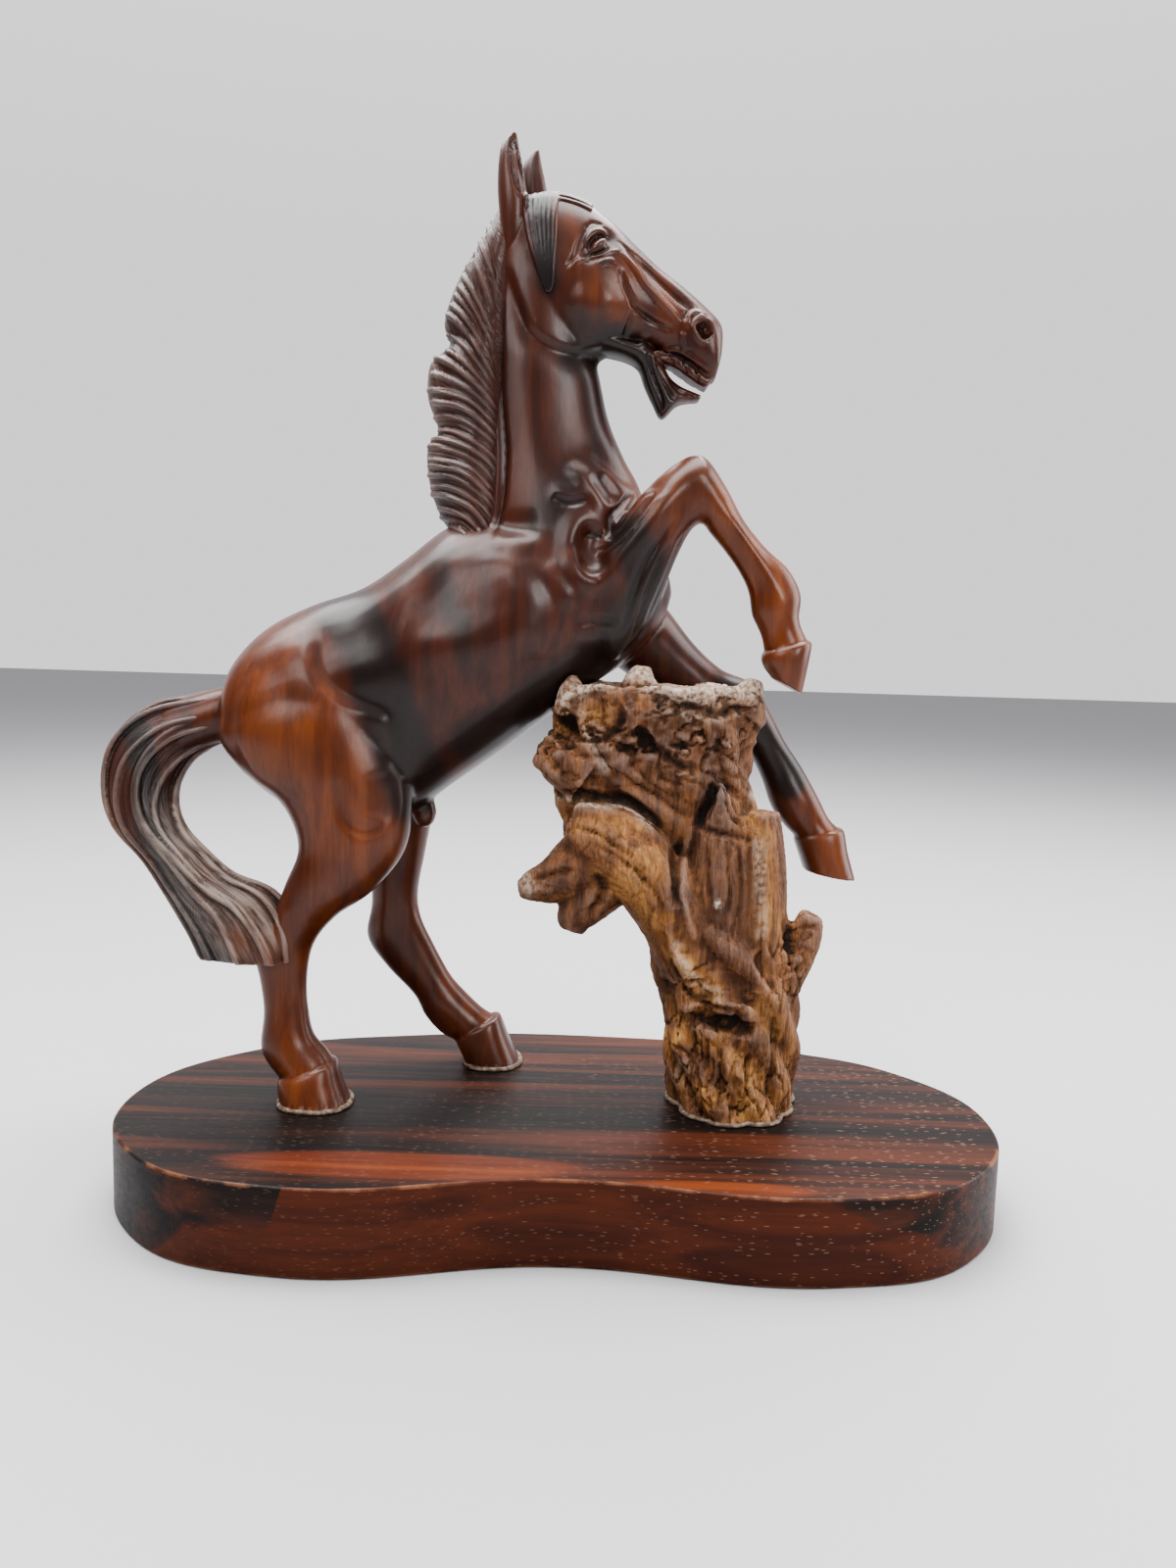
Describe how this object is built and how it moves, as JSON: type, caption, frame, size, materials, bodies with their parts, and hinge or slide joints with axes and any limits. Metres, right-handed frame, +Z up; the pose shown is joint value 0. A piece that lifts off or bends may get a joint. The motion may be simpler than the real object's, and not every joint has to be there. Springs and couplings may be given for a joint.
{
  "type": "rearing horse sculpture",
  "caption": "Carved wooden rearing horse with combed mane and looped tail, its chest over a root-wood stump, on a kidney-shaped wooden base.",
  "frame": {"origin": "centre of the underside of the base, on the surface that the sculpture stands on", "axes": "+Z up, +X the way the horse faces, along the base; the horse's right side faces -Y"},
  "size_m": [0.2732, 0.1261, 0.3121],
  "materials": {
    "carved_rosewood": "satin polished dark red-brown wood with upright grain",
    "root_wood": "raw eroded root wood, matt, ochre to dark brown",
    "base_wood": "satin striped ebony, near black with red-brown streaks"
  },
  "bodies": {
    "root": {"horse": "carved_rosewood", "stump": "root_wood", "base": "base_wood"}
  },
  "joints": []
}
